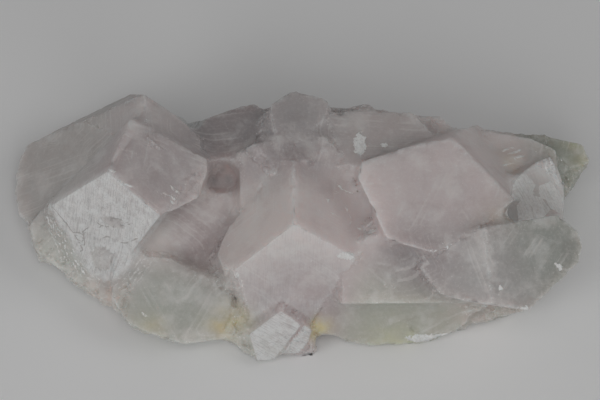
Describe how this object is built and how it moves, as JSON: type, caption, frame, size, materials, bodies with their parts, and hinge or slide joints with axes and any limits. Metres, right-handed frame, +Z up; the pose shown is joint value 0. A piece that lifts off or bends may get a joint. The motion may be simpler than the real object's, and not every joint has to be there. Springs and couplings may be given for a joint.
{
  "type": "manganoan calcite specimen",
  "caption": "Cluster of intergrown milky pale pink calcite crystals: blocky rhombohedral tips with flat striated faces, stepped flanks and a flat-cut base to stand on.",
  "frame": {"origin": "middle of the bounding box's bottom, on the flat-cut base", "axes": "+Z up from the base, +X along the specimen's length with the tall raised crystal at -X, -Y toward the display side where the bright striated faces look"},
  "size_m": [0.1328, 0.0636, 0.0372],
  "materials": {
    "calcite": "milky translucent, satin to waxy, with brighter striated faces"
  },
  "bodies": {
    "root": {"calcite_cluster": "calcite"}
  },
  "joints": []
}
